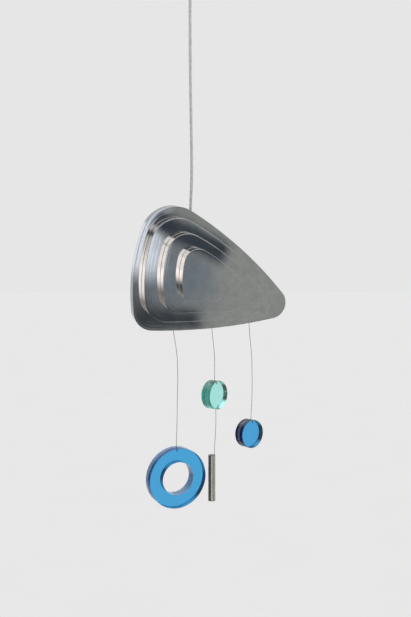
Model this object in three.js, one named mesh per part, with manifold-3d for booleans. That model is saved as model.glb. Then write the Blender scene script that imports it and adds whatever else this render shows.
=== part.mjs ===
// Hanging mobile: four polished plates stacked face to face on a wire rope, with a clear blue ring,
// a clear green disc, a clear blue disc and a metal rod hanging from the back plate on thin wires.
// Millimetres, +Z up. The origin is the inside top of the rope's eye, where a hook carries it all.
// The plates' front faces -Y.

import * as THREE from 'three';
import { mergeVertices } from 'three/addons/utils/BufferGeometryUtils.js';
import Module from 'manifold-3d';

// ---- Driving dimensions -------------------------------------------------------------------------

const PLATE_THICKNESS = 12;
const FIT_GAP = 0.3; // between faces that meet
const PLATE_LEAN = 9; // degrees that the front of the stack looks down
const PLATE_DROP = 264; // from the eye down to the rope's entry in the back plate

const ROPE_DIAMETER = 3.2;
const ROPE_HOLE_DEPTH = 14;
const WIRE_DIAMETER = 0.6;
const WIRE_HOLE_DIAMETER = WIRE_DIAMETER + 2 * FIT_GAP;

const ACRYLIC_THICKNESS = 12;
const RING_DIAMETER = 66.5;
const RING_HOLE_DIAMETER = 36;
const DISC_DIAMETER = 31.5;
const ROD_DIAMETER = 8;
const ROD_LENGTH = 51;

const SLEEVE_TOP = -32;
const SLEEVE_LENGTH = 9;
const SLEEVE_WALL = 1.2;
const ROPE_PITCH = ROPE_DIAMETER + FIT_GAP; // between the two strands that share the sleeve

// Each plate is a triangle with three round corners (centre x, y and radius) and three bowed sides
// (radius of the bow), in its own plane: x to the right, y up the plate, from the rope's entry.
const PLATES = [
  {
    name: 'back_plate',
    crown: [-17.5, -29.5, 35],
    tip: [97, -99, 17],
    heel: [-37.5, -105, 21.5],
    bows: { ridge: 450, foot: 580, flank: 200 },
  },
  {
    name: 'second_plate',
    crown: [-17.5, -34.5, 29],
    tip: [73.5, -93.5, 18],
    heel: [-24.5, -89, 26],
    bows: { ridge: 275, foot: 1300, flank: 165 },
  },
  {
    name: 'third_plate',
    crown: [-10, -42, 22],
    tip: [62.5, -87, 13.5],
    heel: [-17.5, -87.5, 15],
    bows: { ridge: 245, foot: 2000, flank: 110 },
  },
  {
    name: 'front_plate',
    crown: [-2.5, -48.5, 14.5],
    tip: [46, -76, 6],
    heel: [-10.5, -80, 6],
    bows: { ridge: 165, foot: 150, flank: 80 },
  },
];

// Where each wire enters the back plate's lower edge: x and y in the plate's plane.
const WIRE_ENTRIES = [
  [-13.2, -126.6],
  [30.4, -125],
  [73.7, -120.2],
];
const WIRE_HOLE_DEPTH = 8;
const WIRE_HOLE_SLANT = 9; // degrees that these holes lean in the plate's plane

// The hanging pieces: centre, turn about Z and forward tip, in degrees.
const RING = { centre: [-9.3, 23.6, -551.8], turn: 8, tip: 2.5 };
const GREEN_DISC = { centre: [34.6, 22.2, -462.9], turn: 32, tip: 0 };
const BLUE_DISC = { centre: [75.8, 22.2, -508.6], turn: 20.5, tip: 0 };
const ROD = { centre: [31.5, 22.2, -530 - ROD_LENGTH / 2] };

// How far along the rim from its highest (or lowest) point each wire meets a hanging piece.
const RING_WIRE_SHIFT = -0.3;
const GREEN_WIRE_SHIFT = 0.1;
const GREEN_ROD_WIRE_SHIFT = 2.2;
const BLUE_WIRE_SHIFT = 2.6;
const ROD_WIRE_SHIFT = [2.7, -0.9];
const PENDANT_HOLE_DEPTH = 4;

// Routes of the rope and the wires, end to end.
const ROPE_ROUTE = [
  [0, 2, -277],
  [0, 1, -270.5],
  [0, 0, -264],
  [0, -1.9, -252],
  [0, -3.6, -240],
  [0, -4.7, -226],
  [0, -4.9, -211],
  [0, -4.2, -194],
  [0, -2.9, -172],
  [0, -1.7, -147],
  [0, -0.8, -122],
  [0, -0.2, -97],
  [0, 0, -72],
  [0, 0, -50],
  [0, 0, -41],
  [0, 0, -36],
  [0, 0, -31.5],
  [-0.9, 0, -28.4],
  [-2.8, 0, -24.8],
  [-5.4, 0, -21],
  [-8.2, 0, -17],
  [-10.4, 0, -12.8],
  [-11.1, 0, -8.3],
  [-9.6, 0, -3.6],
  [-5.6, 0, 0.3],
  [0, 0, 1.6],
  [5.8, 0, 0.3],
  [10, 0, -3.6],
  [11.6, 0, -8.3],
  [11.3, 0, -12.8],
  [9.9, 0, -17],
  [8, 0, -21],
  [6, 0, -24.8],
  [4.3, 0, -28.4],
  [ROPE_PITCH, 0, -31.5],
  [ROPE_PITCH, 0, -36],
  [ROPE_PITCH, 0, -41],
  [ROPE_PITCH, 0, -43.5],
];
const RING_WIRE_ROUTE = [
  [-14.1, 18.9, -383.6],
  [-13.5, 19.5, -387.3],
  [-12.9, 20.1, -391.1],
  [-12.2, 20.8, -395.5],
  [-10.9, 21.4, -402.1],
  [-9.7, 21.8, -408.7],
  [-8.8, 22, -415.2],
  [-8.1, 22.1, -421.8],
  [-7.7, 22.2, -431.7],
  [-7.5, 22.2, -444.8],
  [-7.8, 22.2, -454.6],
  [-8.1, 22.2, -467.7],
  [-8.3, 22.2, -480.8],
  [-8.6, 22.2, -494],
  [-9, 22.2, -507.1],
  [-9.3, 22.1, -514],
  [-9.4, 22.1, -518.6],
  [-9.4, 22.3, -521.8],
];
const GREEN_DISC_WIRE_ROUTE = [
  [29.4, 18.6, -381.4],
  [30, 19.2, -385.2],
  [30.6, 19.8, -388.9],
  [31.7, 20.7, -396.7],
  [32.7, 21.3, -403.3],
  [33.6, 21.7, -410],
  [34.2, 22, -416.7],
  [34.7, 22.1, -423.4],
  [34.9, 22.2, -430],
  [34.9, 22.2, -436.7],
  [34.8, 22.2, -442],
  [34.7, 22.2, -447.5],
  [34.7, 22.2, -450.4],
];
const ROD_WIRE_ROUTE = [
  [36.5, 23.4, -475.3],
  [36.5, 23.4, -479],
  [36.6, 23.3, -483],
  [36.6, 23, -489.1],
  [36.4, 22.7, -495.8],
  [36.1, 22.4, -502.4],
  [35.6, 22.1, -509.1],
  [35, 21.8, -515.8],
  [34.5, 21.5, -524],
  [34.2, 21.3, -530],
  [34.2, 21.3, -533.3],
];
const BLUE_DISC_WIRE_ROUTE = [
  [72.9, 18, -377.9],
  [73.5, 18.6, -381.7],
  [74.1, 19.2, -385.5],
  [74.9, 20.1, -391.1],
  [75.8, 21, -398],
  [76.7, 21.7, -404.7],
  [77.7, 22.3, -411.5],
  [78.4, 22.7, -418.3],
  [79, 22.9, -425],
  [79.4, 23.1, -438.5],
  [79.6, 23.1, -454.3],
  [79.5, 23.1, -465.6],
  [79.2, 23.1, -475],
  [78.6, 23.1, -484],
  [78.2, 23.1, -493],
  [78.2, 23.1, -496.3],
];

const OUTLINE_STEPS = 16; // segments in each of a plate outline's six arcs
const DISC_STEPS = 72;
const RING_STEPS = 96;
const RING_HOLE_STEPS = 64;
const SLEEVE_STEPS = 6;
const ROD_STEPS = 32;
const BIT_STEPS = 10;
const CORD_SIDES = 8;
const ROPE_STEPS = 80;
const WIRE_STEPS = 36;

// ---- Materials ----------------------------------------------------------------------------------

function metal(color, roughness) {
  return new THREE.MeshStandardMaterial({ color, roughness, metalness: 1 });
}

function acrylic(color) {
  return new THREE.MeshStandardMaterial({
    color,
    roughness: 0.05,
    metalness: 0,
    transparent: true,
    opacity: 0.35,
  });
}

const polishedAluminium = () => metal(0xc9ccd0, 0.12);
const turnedAluminium = () => metal(0xa9a79d, 0.3);
const ropeSteel = () => metal(0xc6c8c9, 0.35);
const wireSteel = () => metal(0x9a9b9c, 0.35);
const blueAcrylic = () => acrylic(0x1f7fc4);
const greenAcrylic = () => acrylic(0x5fcfae);

// ---- Cutting ------------------------------------------------------------------------------------

const wasm = await Module();
wasm.setup();

function toSolid(geometry) {
  const bare = geometry.index ? geometry.toNonIndexed() : geometry.clone();
  bare.deleteAttribute('normal');
  bare.deleteAttribute('uv');
  const merged = mergeVertices(bare, 1e-4);
  return new wasm.Manifold(new wasm.Mesh({
    numProp: 3,
    vertProperties: new Float32Array(merged.attributes.position.array),
    triVerts: new Uint32Array(merged.index.array),
  }));
}

function toGeometry(solid) {
  const mesh = solid.getMesh();
  const geometry = new THREE.BufferGeometry();
  geometry.setAttribute('position', new THREE.BufferAttribute(mesh.vertProperties, 3));
  geometry.setIndex(new THREE.BufferAttribute(mesh.triVerts, 1));
  geometry.computeVertexNormals();
  return geometry;
}

// Drills blind holes. Each is { entry, inward, diameter, depth } in the piece's own frame.
function drilled(geometry, holes) {
  const overshoot = 3;
  let solid = toSolid(geometry);
  for (const { entry, inward, diameter, depth } of holes) {
    const axis = new THREE.Vector3(...inward).normalize();
    const bit = new THREE.CylinderGeometry(diameter / 2, diameter / 2, depth + overshoot, BIT_STEPS);
    bit.applyQuaternion(new THREE.Quaternion().setFromUnitVectors(new THREE.Vector3(0, 1, 0), axis));
    const middle = new THREE.Vector3(...entry).addScaledVector(axis, (depth - overshoot) / 2);
    bit.translate(middle.x, middle.y, middle.z);
    solid = solid.subtract(toSolid(bit));
  }
  return toGeometry(solid);
}

// ---- Shapes -------------------------------------------------------------------------------------

const radians = THREE.MathUtils.degToRad;

// Centre of the arc of the given radius that touches two corner circles from outside, for an outline
// that runs clockwise from the first corner to the second.
function bowCentre([x1, y1, r1], [x2, y2, r2], bow) {
  const reach1 = bow - r1;
  const reach2 = bow - r2;
  const span = Math.hypot(x2 - x1, y2 - y1);
  const along = (reach1 ** 2 - reach2 ** 2 + span ** 2) / (2 * span);
  const across = Math.sqrt(reach1 ** 2 - along ** 2);
  const ux = (x2 - x1) / span;
  const uy = (y2 - y1) / span;
  return [x1 + ux * along + uy * across, y1 + uy * along - ux * across];
}

// Points of a clockwise arc, without its last one.
function arcPoints(cx, cy, radius, from, to) {
  const sweep = THREE.MathUtils.euclideanModulo(from - to, 2 * Math.PI);
  const points = [];
  for (let i = 0; i < OUTLINE_STEPS; i += 1) {
    const angle = from - (sweep * i) / OUTLINE_STEPS;
    points.push(new THREE.Vector2(cx + radius * Math.cos(angle), cy + radius * Math.sin(angle)));
  }
  return points;
}

function plateOutline({ crown, tip, heel, bows }) {
  const corners = [crown, tip, heel];
  const radii = [bows.ridge, bows.foot, bows.flank];
  const centres = corners.map((corner, i) => bowCentre(corner, corners[(i + 1) % 3], radii[i]));
  const bearing = ([x, y], [cx, cy]) => Math.atan2(y - cy, x - cx);
  const points = [];
  corners.forEach((corner, i) => {
    const next = corners[(i + 1) % 3];
    const before = centres[(i + 2) % 3];
    const after = centres[i];
    points.push(...arcPoints(...corner, bearing(corner, before), bearing(corner, after)));
    points.push(...arcPoints(...after, radii[i], bearing(corner, after), bearing(next, after)));
  });
  return new THREE.Shape(points);
}

function slab(shape, thickness, steps) {
  const geometry = new THREE.ExtrudeGeometry(shape, {
    depth: thickness,
    bevelEnabled: false,
    curveSegments: steps,
  });
  return geometry.translate(0, 0, -thickness / 2);
}

function circleShape(diameter, steps) {
  const points = [];
  for (let i = 0; i < steps; i += 1) {
    const angle = (2 * Math.PI * i) / steps;
    points.push(new THREE.Vector2(Math.cos(angle), Math.sin(angle)).multiplyScalar(diameter / 2));
  }
  return new THREE.Shape(points);
}

function cord(route, diameter, steps) {
  const curve = new THREE.CatmullRomCurve3(route.map((point) => new THREE.Vector3(...point)));
  return new THREE.ExtrudeGeometry(circleShape(diameter, CORD_SIDES), {
    steps,
    bevelEnabled: false,
    extrudePath: curve,
  });
}

// A long hole with round ends, or the outline of a piece of that shape, along x.
function stadium(pitch, radius, PathClass) {
  const path = new PathClass();
  path.absarc(pitch, 0, radius, -Math.PI / 2, Math.PI / 2, false);
  path.absarc(0, 0, radius, Math.PI / 2, (3 * Math.PI) / 2, false);
  return path;
}

// ---- The object ---------------------------------------------------------------------------------

const mobile = new THREE.Group();

function add(parent, name, geometry, material) {
  const mesh = new THREE.Mesh(geometry, material);
  mesh.name = name;
  parent.add(mesh);
  return mesh;
}

// A group whose x runs along a hanging piece's face, y up it and z out of its front.
function hang({ centre, turn = 0, tip = 0 }) {
  const swivel = new THREE.Group();
  swivel.position.set(...centre);
  swivel.rotation.z = radians(turn);
  const face = new THREE.Group();
  face.rotation.x = radians(90 + tip);
  swivel.add(face);
  mobile.add(swivel);
  return face;
}

// The stack of plates, in a group that leans forward about the rope's entry.
const stack = hang({ centre: [0, 0, -PLATE_DROP], tip: PLATE_LEAN });
const slant = radians(WIRE_HOLE_SLANT);
const plateHoles = WIRE_ENTRIES.map(([x, y]) => ({
  entry: [x, y, 0],
  inward: [-Math.sin(slant), Math.cos(slant), 0],
  diameter: WIRE_HOLE_DIAMETER,
  depth: WIRE_HOLE_DEPTH,
}));
plateHoles.push({
  entry: [0, 0, 0],
  inward: [0, -1, 0],
  diameter: ROPE_DIAMETER + 2 * FIT_GAP,
  depth: ROPE_HOLE_DEPTH,
});
PLATES.forEach((plate, layer) => {
  const blank = slab(plateOutline(plate), PLATE_THICKNESS);
  const geometry = layer === 0 ? drilled(blank, plateHoles) : blank;
  const mesh = add(stack, plate.name, geometry, polishedAluminium());
  mesh.position.z = layer * (PLATE_THICKNESS + FIT_GAP);
});

// The wire rope with its eye, and the pressed sleeve that closes it.
add(mobile, 'suspension_cable', cord(ROPE_ROUTE, ROPE_DIAMETER, ROPE_STEPS), ropeSteel());
const strandRadius = ROPE_DIAMETER / 2 + FIT_GAP;
const sleeveShape = stadium(ROPE_PITCH, strandRadius + SLEEVE_WALL, THREE.Shape);
sleeveShape.holes.push(stadium(ROPE_PITCH, strandRadius, THREE.Path));
const sleeve = add(mobile, 'loop_sleeve', slab(sleeveShape, SLEEVE_LENGTH, SLEEVE_STEPS), turnedAluminium());
sleeve.position.z = SLEEVE_TOP - SLEEVE_LENGTH / 2;

// A hole in the rim of a round piece, above or below its centre.
function rimHole(diameter, shift, side) {
  const rise = Math.sqrt((diameter / 2) ** 2 - shift ** 2);
  return {
    entry: [shift, side * rise, 0],
    inward: [0, -side, 0],
    diameter: WIRE_HOLE_DIAMETER,
    depth: PENDANT_HOLE_DEPTH,
  };
}

const ringShape = circleShape(RING_DIAMETER, RING_STEPS);
ringShape.holes.push(circleShape(RING_HOLE_DIAMETER, RING_HOLE_STEPS));
const ringHoles = [rimHole(RING_DIAMETER, RING_WIRE_SHIFT, 1)];
add(hang(RING), 'blue_ring', drilled(slab(ringShape, ACRYLIC_THICKNESS), ringHoles), blueAcrylic());

const discBlank = () => slab(circleShape(DISC_DIAMETER, DISC_STEPS), ACRYLIC_THICKNESS);
const greenHoles = [
  rimHole(DISC_DIAMETER, GREEN_WIRE_SHIFT, 1),
  rimHole(DISC_DIAMETER, GREEN_ROD_WIRE_SHIFT, -1),
];
add(hang(GREEN_DISC), 'green_disc', drilled(discBlank(), greenHoles), greenAcrylic());
const blueHoles = [rimHole(DISC_DIAMETER, BLUE_WIRE_SHIFT, 1)];
add(hang(BLUE_DISC), 'blue_disc', drilled(discBlank(), blueHoles), blueAcrylic());

// The rod stands upright, so its group's z already runs along it.
const rodGroup = new THREE.Group();
rodGroup.position.set(...ROD.centre);
mobile.add(rodGroup);
const rodHoles = [{
  entry: [...ROD_WIRE_SHIFT, ROD_LENGTH / 2],
  inward: [0, 0, -1],
  diameter: WIRE_HOLE_DIAMETER,
  depth: PENDANT_HOLE_DEPTH,
}];
const rodBlank = slab(circleShape(ROD_DIAMETER, ROD_STEPS), ROD_LENGTH);
add(rodGroup, 'metal_rod', drilled(rodBlank, rodHoles), turnedAluminium());

const WIRES = {
  ring_wire: RING_WIRE_ROUTE,
  green_disc_wire: GREEN_DISC_WIRE_ROUTE,
  rod_wire: ROD_WIRE_ROUTE,
  blue_disc_wire: BLUE_DISC_WIRE_ROUTE,
};
for (const [name, route] of Object.entries(WIRES)) {
  add(mobile, name, cord(route, WIRE_DIAMETER, WIRE_STEPS), wireSteel());
}

export default mobile;
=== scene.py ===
# %% [markdown]
# # A hanging mobile of polished plates and clear acrylic
#
# This lesson dresses a mobile in Blender. On the real thing, four polished metal plates are stacked
# face to face and hang from one wire rope. Three thin wires below them carry a blue ring, a green
# disc and a blue disc, and a short metal rod hangs under the green disc.
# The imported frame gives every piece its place, in metres, with Z up. We load it first, and keep its
# box, so that we can see at the end that nothing has grown.

# %% Load the frame
import math

import bpy
import bmesh
from mathutils import Matrix, Vector


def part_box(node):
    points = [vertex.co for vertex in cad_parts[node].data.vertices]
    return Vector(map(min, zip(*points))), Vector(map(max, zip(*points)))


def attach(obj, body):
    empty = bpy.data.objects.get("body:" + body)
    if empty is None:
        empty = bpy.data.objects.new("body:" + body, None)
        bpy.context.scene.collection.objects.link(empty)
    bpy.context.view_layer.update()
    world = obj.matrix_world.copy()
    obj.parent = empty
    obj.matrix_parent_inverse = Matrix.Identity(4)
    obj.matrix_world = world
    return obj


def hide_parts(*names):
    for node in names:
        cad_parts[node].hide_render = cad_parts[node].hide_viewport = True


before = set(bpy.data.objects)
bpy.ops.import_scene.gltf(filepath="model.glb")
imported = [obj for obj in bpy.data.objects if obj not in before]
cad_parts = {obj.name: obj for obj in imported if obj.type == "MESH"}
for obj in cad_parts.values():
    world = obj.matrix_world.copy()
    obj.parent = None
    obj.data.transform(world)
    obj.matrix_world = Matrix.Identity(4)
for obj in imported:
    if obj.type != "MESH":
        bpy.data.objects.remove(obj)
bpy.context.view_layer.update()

scene = bpy.context.scene
MM = 0.001


def box_centre(node):
    low, high = (Vector(corner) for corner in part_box(node))
    return (low + high) / 2


# %% [markdown]
# ## Camera
#
# A camera is placed by where it stands, how it is turned and how long its lens is. This one stands a
# little to the left of the mobile, looks slightly down, and has no shift and no depth of field.
# Blender cameras look along their own -Z, so a level camera that looks along +Y is already tipped up
# by 90 degrees.

# %% Camera
CAMERA_PLACE = (-0.2528, -0.8056, -0.3219)
CAMERA_HEADING = 18.5  # degrees from +Y towards +X
CAMERA_PITCH = -3
CAMERA_LENS = 46.68  # millimetres, on a 36 mm sensor

camera_data = bpy.data.cameras.new("camera")
camera_data.lens = CAMERA_LENS
camera_data.clip_start = 0.01
camera_data.clip_end = 100
camera = bpy.data.objects.new("camera", camera_data)
camera.location = CAMERA_PLACE
camera.rotation_euler = (math.radians(90 + CAMERA_PITCH), 0, -math.radians(CAMERA_HEADING))
scene.collection.objects.link(camera)
scene.camera = camera
print("camera", math.dist(CAMERA_PLACE, box_centre("back_plate")), "m from the back plate")

# %% [markdown]
# ## Routes of the rope and the wires
#
# The rope and the wires are stiff, so their small bends are part of the shape. Each route is a short
# list of points, end to end, and a smooth curve goes through them. The curve here is a centripetal
# Catmull-Rom spline, the same one that the solids were drawn along: it passes through every point and
# never loops between two of them.

# %% Routes in millimetres
ROPE_ROUTE = [
    (0, 2, -277), (0, 1, -270.5), (0, 0, -264), (0, -1.9, -252), (0, -3.6, -240),
    (0, -4.7, -226), (0, -4.9, -211), (0, -4.2, -194), (0, -2.9, -172), (0, -1.7, -147),
    (0, -0.8, -122), (0, -0.2, -97), (0, 0, -72), (0, 0, -50), (0, 0, -41), (0, 0, -36),
    (0, 0, -31.5), (-0.9, 0, -28.4), (-2.8, 0, -24.8), (-5.4, 0, -21), (-8.2, 0, -17),
    (-10.4, 0, -12.8), (-11.1, 0, -8.3), (-9.6, 0, -3.6), (-5.6, 0, 0.3), (0, 0, 1.6),
    (5.8, 0, 0.3), (10, 0, -3.6), (11.6, 0, -8.3), (11.3, 0, -12.8), (9.9, 0, -17),
    (8, 0, -21), (6, 0, -24.8), (4.3, 0, -28.4), (3.5, 0, -31.5), (3.5, 0, -36),
    (3.5, 0, -41), (3.5, 0, -43.5),
]
RING_WIRE_ROUTE = [
    (-14.1, 18.9, -383.6), (-13.5, 19.5, -387.3), (-12.9, 20.1, -391.1), (-12.2, 20.8, -395.5),
    (-10.9, 21.4, -402.1), (-9.7, 21.8, -408.7), (-8.8, 22, -415.2), (-8.1, 22.1, -421.8),
    (-7.7, 22.2, -431.7), (-7.5, 22.2, -444.8), (-7.8, 22.2, -454.6), (-8.1, 22.2, -467.7),
    (-8.3, 22.2, -480.8), (-8.6, 22.2, -494), (-9, 22.2, -507.1), (-9.3, 22.1, -514),
    (-9.4, 22.1, -518.6), (-9.4, 22.3, -521.8),
]
GREEN_DISC_WIRE_ROUTE = [
    (29.4, 18.6, -381.4), (30, 19.2, -385.2), (30.6, 19.8, -388.9), (31.7, 20.7, -396.7),
    (32.7, 21.3, -403.3), (33.6, 21.7, -410), (34.2, 22, -416.7), (34.7, 22.1, -423.4),
    (34.9, 22.2, -430), (34.9, 22.2, -436.7), (34.8, 22.2, -442), (34.7, 22.2, -447.5),
    (34.7, 22.2, -450.4),
]
ROD_WIRE_ROUTE = [
    (36.5, 23.4, -475.3), (36.5, 23.4, -479), (36.6, 23.3, -483), (36.6, 23, -489.1),
    (36.4, 22.7, -495.8), (36.1, 22.4, -502.4), (35.6, 22.1, -509.1), (35, 21.8, -515.8),
    (34.5, 21.5, -524), (34.2, 21.3, -530), (34.2, 21.3, -533.3),
]
BLUE_DISC_WIRE_ROUTE = [
    (72.9, 18, -377.9), (73.5, 18.6, -381.7), (74.1, 19.2, -385.5), (74.9, 20.1, -391.1),
    (75.8, 21, -398), (76.7, 21.7, -404.7), (77.7, 22.3, -411.5), (78.4, 22.7, -418.3),
    (79, 22.9, -425), (79.4, 23.1, -438.5), (79.6, 23.1, -454.3), (79.5, 23.1, -465.6),
    (79.2, 23.1, -475), (78.6, 23.1, -484), (78.2, 23.1, -493), (78.2, 23.1, -496.3),
]


def smooth_route(points, step):
    """Points in metres, about one step apart, on the smooth curve through points in millimetres."""
    knots = [Vector(point) * MM for point in points]
    knots = [2 * knots[0] - knots[1], *knots, 2 * knots[-1] - knots[-2]]
    line = []
    for p0, p1, p2, p3 in zip(knots, knots[1:], knots[2:], knots[3:]):
        t1 = math.sqrt((p1 - p0).length)
        t2 = t1 + math.sqrt((p2 - p1).length)
        t3 = t2 + math.sqrt((p3 - p2).length)
        count = max(2, math.ceil((p2 - p1).length / step))
        for i in range(count):
            t = t1 + (t2 - t1) * i / count
            a1 = p0.lerp(p1, t / t1)
            a2 = p1.lerp(p2, (t - t1) / (t2 - t1))
            a3 = p2.lerp(p3, (t - t2) / (t3 - t2))
            b1 = a1.lerp(a2, t / t2)
            b2 = a2.lerp(a3, (t - t1) / (t3 - t1))
            line.append(b1.lerp(b2, (t - t1) / (t2 - t1)))
    return [*line, knots[-2]]


def route_length(line):
    return sum(math.dist(a, b) for a, b in zip(line, line[1:]))


rope_line = smooth_route(ROPE_ROUTE, 0.6 * MM)
ring_line = smooth_route(RING_WIRE_ROUTE, 1.0 * MM)
green_line = smooth_route(GREEN_DISC_WIRE_ROUTE, 1.0 * MM)
rod_line = smooth_route(ROD_WIRE_ROUTE, 1.0 * MM)
blue_line = smooth_route(BLUE_DISC_WIRE_ROUTE, 1.0 * MM)
for label, line in (("rope", rope_line), ("ring wire", ring_line), ("green disc wire", green_line),
                    ("rod wire", rod_line), ("blue disc wire", blue_line)):
    print(f"{label}: {route_length(line) * 1000:.1f} mm, {len(line)} points")

# %% [markdown]
# ## Finishes: how they are built
#
# Every finish here is a small net of shader nodes. Most of them read Object coordinates, which for
# these pieces are plain metres in the frame, so one unit of a pattern has the same size everywhere.
# A short helper makes a node and joins or sets its inputs. A few more write the sums, noises and blends
# that come back in every finish, so that each finish reads like a list.

# %% Node helpers
def new_material(name):
    material = bpy.data.materials.new(name)
    material.use_nodes = True
    material.node_tree.nodes.clear()
    return material


def add_node(tree, kind, settings=None, **inputs):
    """Adds a node, sets its settings, and links or sets its inputs, written with _ for a space."""
    node = tree.nodes.new(kind)
    for key, value in (settings or {}).items():
        setattr(node, key, value)
    for key, value in inputs.items():
        numbered = key.startswith("in") and key[2:].isdigit()
        socket = node.inputs[int(key[2:]) if numbered else key.replace("_", " ")]
        if isinstance(value, bpy.types.NodeSocket):
            tree.links.new(value, socket)
        else:
            socket.default_value = value
    return node


def calc(tree, operation, *values):
    """A Math node's result."""
    inputs = {f"in{i}": value for i, value in enumerate(values)}
    return add_node(tree, "ShaderNodeMath", {"operation": operation}, **inputs).outputs[0]


def noise(tree, vector, scale, detail=2.0, rough=0.5):
    node = add_node(tree, "ShaderNodeTexNoise", Vector=vector, Scale=scale, Detail=detail, Roughness=rough)
    return node.outputs["Fac"]


def stretched(tree, vector, scale, turn=(0, 0, 0)):
    """Coordinates scaled and turned, so that a pattern is long one way and fine the other."""
    return add_node(tree, "ShaderNodeMapping", Vector=vector, Scale=scale, Rotation=turn).outputs[0]


def remap(tree, value, low, high, to_low, to_high):
    return add_node(
        tree, "ShaderNodeMapRange", Value=value, From_Min=low, From_Max=high,
        To_Min=to_low, To_Max=to_high,
    ).outputs[0]


def ramp(tree, value, low, high):
    """A soft step from 0 at low to 1 at high."""
    return add_node(
        tree, "ShaderNodeMapRange", {"interpolation_type": "SMOOTHSTEP"}, Value=value,
        From_Min=low, From_Max=high,
    ).outputs[0]


def blend_colours(tree, share, first, second):
    return add_node(
        tree, "ShaderNodeMix", {"data_type": "RGBA"}, Factor=share, in6=first, in7=second,
    ).outputs[2]


def blend_values(tree, share, first, second):
    return add_node(
        tree, "ShaderNodeMix", {"data_type": "FLOAT"}, Factor=share, in2=first, in3=second,
    ).outputs[0]


def object_coordinates(tree):
    return tree.nodes.new("ShaderNodeTexCoord").outputs["Object"]


def finish_surface(tree, shader, volume=None):
    output = tree.nodes.new("ShaderNodeOutputMaterial")
    tree.links.new(shader.outputs[0], output.inputs["Surface"])
    if volume is not None:
        tree.links.new(volume.outputs[0], output.inputs["Volume"])


print("node helpers ready")

# %% [markdown]
# ## Steel for the rope and the wires
#
# Steel wire is drawn, so it is bright along its length and a little rough across it. The finish is a
# metal with a small change of tone from wire to wire, and short marks along them.

# %% Steel finishes
def steel_finish(name, tone, roughness, metallic):
    material = new_material(name)
    tree = material.node_tree
    place = object_coordinates(tree)
    grime = noise(tree, place, 260, 3)
    marks = noise(tree, stretched(tree, place, (2400, 2400, 300)), 1, 2)
    grimy = tuple(part * 0.82 for part in tone)
    colour = blend_colours(tree, remap(tree, grime, 0.35, 0.7, 0, 1), (*grimy, 1), (*tone, 1))
    bump = add_node(tree, "ShaderNodeBump", Height=marks, Strength=0.25, Distance=0.05 * MM)
    shader = add_node(
        tree, "ShaderNodeBsdfPrincipled", Base_Color=colour, Metallic=metallic,
        Roughness=remap(tree, marks, 0.3, 0.7, roughness - 0.06, roughness + 0.08),
        Normal=bump.outputs[0],
    )
    finish_surface(tree, shader)
    return material


rope_steel = steel_finish("rope_steel", (0.90, 0.89, 0.88), 0.4, 0.2)
wire_steel = steel_finish("wire_steel", (0.55, 0.55, 0.56), 0.3, 1.0)
print("steel finishes", rope_steel.name, wire_steel.name)

# %% [markdown]
# ## A wire rope, laid with Geometry Nodes
#
# A wire rope is six strands twisted round a core. We could model one turn and repeat it, but the rope
# bends into an eye, so it is better to let the shape follow a path. In Geometry Nodes, Curve to Mesh
# sweeps a profile along a curve, and the curve's tilt turns the profile on the way. Six small circles
# set in a ring are the profile. A tilt that grows with the length makes them twist, just as in a real
# rope. Thinner strands with a shorter lay make the thin wires with the same tree.

# %% Rope tree
def rope_tree():
    tree = bpy.data.node_groups.new("laid_rope", "GeometryNodeTree")
    face = tree.interface
    face.new_socket("Geometry", in_out="INPUT", socket_type="NodeSocketGeometry")
    for name in ("Strand Radius", "Ring Radius", "Core Radius", "Lay Length", "Step"):
        face.new_socket(name, in_out="INPUT", socket_type="NodeSocketFloat")
    for name in ("Strands", "Sides"):
        face.new_socket(name, in_out="INPUT", socket_type="NodeSocketInt")
    face.new_socket("Material", in_out="INPUT", socket_type="NodeSocketMaterial")
    face.new_socket("Geometry", in_out="OUTPUT", socket_type="NodeSocketGeometry")
    given = tree.nodes.new("NodeGroupInput").outputs

    line = add_node(
        tree, "GeometryNodeResampleCurve", {"mode": "LENGTH"},
        Curve=given["Geometry"], Length=given["Step"],
    )
    along = tree.nodes.new("GeometryNodeSplineParameter").outputs["Length"]
    turns = calc(tree, "DIVIDE", along, given["Lay Length"])
    tilt = calc(tree, "MULTIPLY", turns, math.tau)
    twisted = add_node(tree, "GeometryNodeSetCurveTilt", Curve=line.outputs[0], Tilt=tilt)

    ring = add_node(
        tree, "GeometryNodeMeshCircle", Vertices=given["Strands"], Radius=given["Ring Radius"],
    )
    strand = add_node(
        tree, "GeometryNodeCurvePrimitiveCircle", Resolution=given["Sides"], Radius=given["Strand Radius"],
    )
    strands = add_node(
        tree, "GeometryNodeInstanceOnPoints", Points=ring.outputs[0], Instance=strand.outputs[0],
    )
    profile = tree.nodes.new("GeometryNodeRealizeInstances")
    tree.links.new(strands.outputs[0], profile.inputs[0])
    laid = add_node(
        tree, "GeometryNodeCurveToMesh", Curve=twisted.outputs[0], Profile_Curve=profile.outputs[0],
        Fill_Caps=True,
    )
    heart = add_node(
        tree, "GeometryNodeCurvePrimitiveCircle", Resolution=given["Sides"], Radius=given["Core Radius"],
    )
    core = add_node(
        tree, "GeometryNodeCurveToMesh", Curve=line.outputs[0], Profile_Curve=heart.outputs[0],
        Fill_Caps=True,
    )
    joined = tree.nodes.new("GeometryNodeJoinGeometry")
    tree.links.new(core.outputs[0], joined.inputs[0])
    tree.links.new(laid.outputs[0], joined.inputs[0])
    real = add_node(tree, "GeometryNodeRealizeInstances", Geometry=joined.outputs[0])
    dressed = add_node(
        tree, "GeometryNodeSetMaterial", Geometry=real.outputs[0], Material=given["Material"],
    )
    output = tree.nodes.new("NodeGroupOutput")
    tree.links.new(dressed.outputs[0], output.inputs[0])
    return tree


def set_input(modifier, tree, name, value):
    """Sets a modifier's input by its socket's identifier."""
    for item in tree.interface.items_tree:
        if item.in_out == "INPUT" and item.name == name and item.socket_type != "NodeSocketGeometry":
            modifier[item.identifier] = value


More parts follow.
